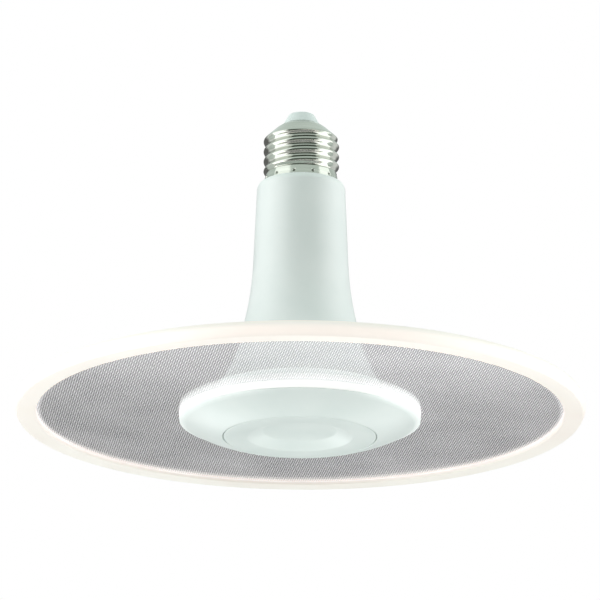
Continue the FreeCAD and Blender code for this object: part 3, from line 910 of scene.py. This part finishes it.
def world():
    """White for the camera. The light and the reflections come from bright sides and a pale ceiling."""
    scene = bpy.context.scene
    scene.world = bpy.data.worlds.new("studio")
    scene.world.use_nodes = True
    tree = scene.world.node_tree
    shader = tree.nodes["Background"]
    coordinates = add(tree, "ShaderNodeTexCoord")
    flat = add(tree, "ShaderNodeVectorMath", {1: (1.0, 1.0, 0.0)}, operation="MULTIPLY")
    heading = add(tree, "ShaderNodeVectorMath", operation="NORMALIZE")
    ahead = (sin(front_turn), -cos(front_turn), 0.0)
    front = add(tree, "ShaderNodeVectorMath", {1: ahead}, operation="DOT_PRODUCT")
    share = add(tree, "ShaderNodeMapRange", {"From Min": -1.0, "From Max": 1.0})
    tree.links.new(coordinates.outputs["Generated"], flat.inputs[0])
    tree.links.new(flat.outputs["Vector"], heading.inputs[0])
    tree.links.new(heading.outputs["Vector"], front.inputs[0])
    tree.links.new(front.outputs["Value"], share.inputs["Value"])
    walls = ramp(tree, share.outputs["Result"], [
        (0.0, back_wall),
        (0.10, back_wall),
        (0.18, side_walls),
        (0.775, side_walls),
        (0.815, front_wall),
        (1.0, front_wall),
    ])
    parts = add(tree, "ShaderNodeSeparateXYZ")
    limits = {"From Min": ceiling_start, "From Max": ceiling_full}
    rise = add(tree, "ShaderNodeMapRange", limits, interpolation_type="SMOOTHSTEP")
    tree.links.new(coordinates.outputs["Generated"], parts.inputs["Vector"])
    tree.links.new(parts.outputs["Z"], rise.inputs["Value"])
    ceiling = add(tree, "ShaderNodeMix", {"B": (*ceiling_colour, 1.0)}, data_type="RGBA")
    tree.links.new(rise.outputs["Result"], ceiling.inputs["Factor"])
    tree.links.new(walls, ceiling.inputs["A"])
    rays = add(tree, "ShaderNodeLightPath")
    glossy = add(tree, "ShaderNodeMath", {1: glossy_white}, operation="MULTIPLY")
    through = add(tree, "ShaderNodeMath", {1: transmission_white}, operation="MULTIPLY")
    both = add(tree, "ShaderNodeMath", operation="ADD")
    seen = add(tree, "ShaderNodeMath", operation="ADD", use_clamp=True)
    tree.links.new(rays.outputs["Is Glossy Ray"], glossy.inputs[0])
    tree.links.new(rays.outputs["Is Transmission Ray"], through.inputs[0])
    tree.links.new(glossy.outputs["Value"], both.inputs[0])
    tree.links.new(through.outputs["Value"], both.inputs[1])
    tree.links.new(both.outputs["Value"], seen.inputs[0])
    tree.links.new(rays.outputs["Is Camera Ray"], seen.inputs[1])
    mixed = add(tree, "ShaderNodeMix", {"B": (1.0, 1.0, 1.0, 1.0)}, data_type="RGBA")
    tree.links.new(seen.outputs["Value"], mixed.inputs["Factor"])
    tree.links.new(ceiling.outputs["Result"], mixed.inputs["A"])
    tree.links.new(mixed.outputs["Result"], shader.inputs["Color"])
    shader.inputs["Strength"].default_value = 1.0


def softbox(name, place, size, power):
    """A square area lamp that faces the lamp's middle."""
    light = bpy.data.lights.new(name, "AREA")
    light.shape = "SQUARE"
    light.size = size
    light.energy = power
    lamp = bpy.data.objects.new(name, light)
    lamp.location = place
    ahead = Vector((0, 0, lamp_aim_z)) - Vector(place)
    lamp.rotation_euler = ahead.to_track_quat("-Z", "Y").to_euler()
    bpy.context.scene.collection.objects.link(lamp)


def camera():
    """The photo's view, from the front and below."""
    data = bpy.data.cameras.new("camera")
    data.lens = focal_length
    data.clip_end = 20.0
    eye = bpy.data.objects.new("camera", data)
    eye.location = (
        0.0,
        -camera_distance * cos(camera_drop),
        camera_centre_z - camera_distance * sin(camera_drop),
    )
    turn = (Vector((aim_x, 0, aim_z)) - eye.location).to_track_quat("-Z", "Y")
    eye.rotation_euler = (turn @ Quaternion((0, 0, 1), camera_roll)).to_euler()
    bpy.context.scene.collection.objects.link(eye)
    bpy.context.scene.camera = eye


white = housing_plastic()
finishes = {name: surface(name, *values) for name, values in INSIDE.items()}
finishes.update({
    "nickel": nickel(),
    "cap_insulator": nub_plastic(),
    "white_plastic": white,
    "plug_plastic": plug_plastic(),
    "light_guide": guide_acrylic(),
    "opal_edge": opal_edge(),
    "opal_clamp": opal_clamp(),
})
dress_nodes(finishes)
neck(white)
edge(finishes["opal_edge"])
clamp(finishes["opal_clamp"])
cover(cover_plastic())
plug(finishes["plug_plastic"])
shell(finishes["nickel"])
insulator(finishes["cap_insulator"])
contact(finishes["nickel"])
dots(dot_white())

floor()
world()
for lamp in LAMPS:
    softbox(*lamp)
camera()
bpy.context.scene.view_settings.view_transform = "Standard"
